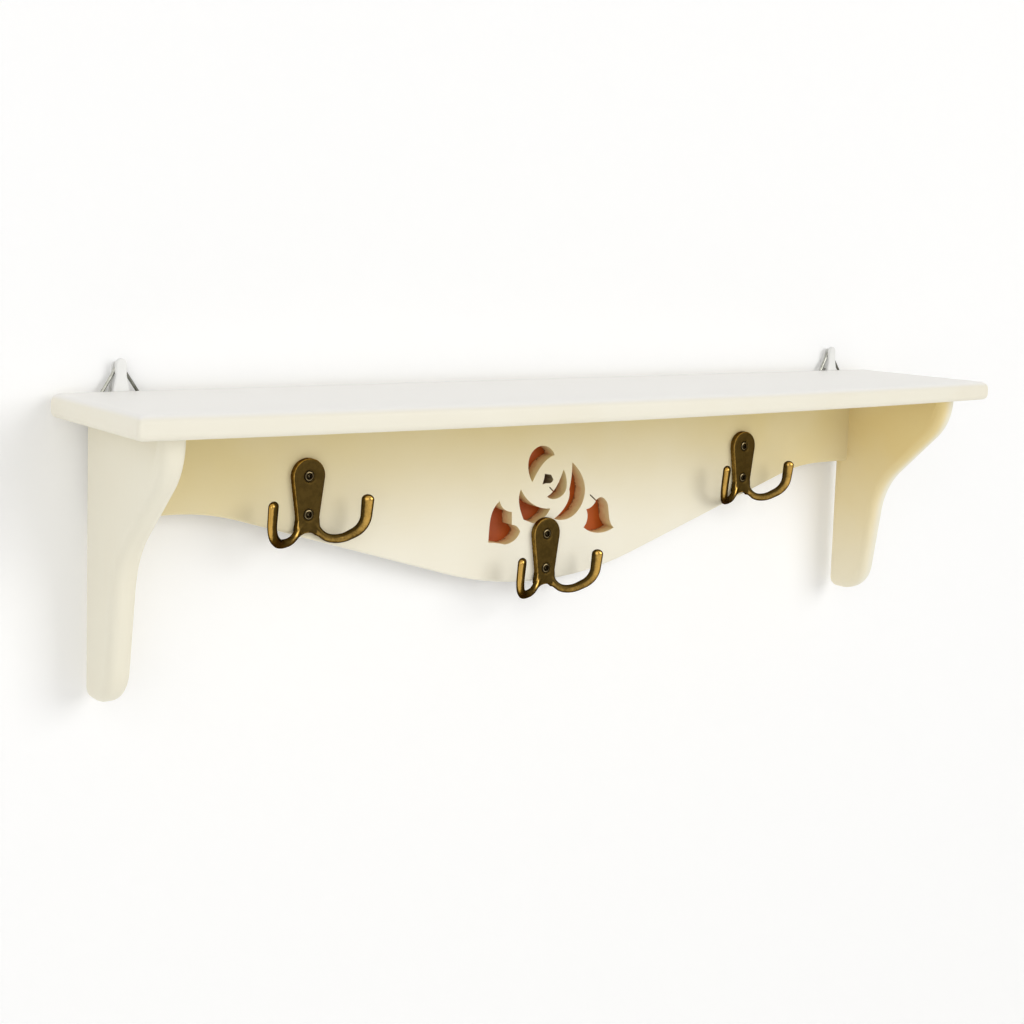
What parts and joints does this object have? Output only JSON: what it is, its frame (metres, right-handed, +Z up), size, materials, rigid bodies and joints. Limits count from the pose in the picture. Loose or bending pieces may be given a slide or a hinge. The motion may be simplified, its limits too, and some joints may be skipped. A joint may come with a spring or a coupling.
{
  "type": "shaker peg rail with shelf",
  "caption": "Painted wall shelf on a wave-edged apron with a pierced rose, curved end brackets and double brass robe hooks; it hangs by rings on plastic wall hooks.",
  "frame": {"origin": "centre of the pattern of four wall pins, in the plane of the wall", "axes": "+X along the shelf to its right-hand end, +Y into the wall, +Z up"},
  "size_m": [0.6, 0.1349, 0.1709],
  "materials": {
    "cream_paint": "cream eggshell paint on wood",
    "terracotta_paint": "terracotta matt paint on thin board",
    "dowel_wood": "bare beech dowel",
    "antique_brass": "antique brass, rubbed at the edges",
    "hook_screw_brass": "antiqued screw",
    "zinc_steel": "zinc-plated steel",
    "white_plastic": "white plastic",
    "pin_steel": "hardened steel pin"
  },
  "bodies": {
    "wall_fixings": {"wall_hook_left": "white_plastic", "wall_hook_right": "white_plastic", "wall_hook_pins_left": "pin_steel", "wall_hook_pins_right": "pin_steel"},
    "shelf": {"shelf_board": "cream_paint", "pierced_apron": "cream_paint", "rose_backing": "terracotta_paint", "backing_tacks": "zinc_steel", "shelf_apron_dowels": "dowel_wood", "bracket_left": "cream_paint", "bracket_dowels_left": "dowel_wood", "apron_end_dowels_left": "dowel_wood", "bracket_right": "cream_paint", "bracket_dowels_right": "dowel_wood", "apron_end_dowels_right": "dowel_wood", "robe_hook_left": "antique_brass", "hook_screws_left": "hook_screw_brass", "robe_hook_middle": "antique_brass", "hook_screws_middle": "hook_screw_brass", "robe_hook_right": "antique_brass", "hook_screws_right": "hook_screw_brass", "hanger_strap_left": "zinc_steel", "hanger_screw_left": "zinc_steel", "hanger_strap_right": "zinc_steel", "hanger_screw_right": "zinc_steel"},
    "ring_left": {"hanger_ring_left": "zinc_steel"},
    "ring_right": {"hanger_ring_right": "zinc_steel"}
  },
  "joints": [
    {"name": "shelf_lift", "type": "slide", "parent": "wall_fixings", "child": "shelf", "axis": [0, 0, 1], "range_m": [0, 0.006]},
    {"name": "ring_left_swing", "type": "hinge", "parent": "shelf", "child": "ring_left", "pos_m": [-0.2635, -0.005, -0.019], "axis": [1, 0, 0], "range_deg": [-2, 0.5]},
    {"name": "ring_right_swing", "type": "hinge", "parent": "shelf", "child": "ring_right", "pos_m": [0.2635, -0.005, -0.019], "axis": [1, 0, 0], "range_deg": [-2, 0.5]}
  ]
}
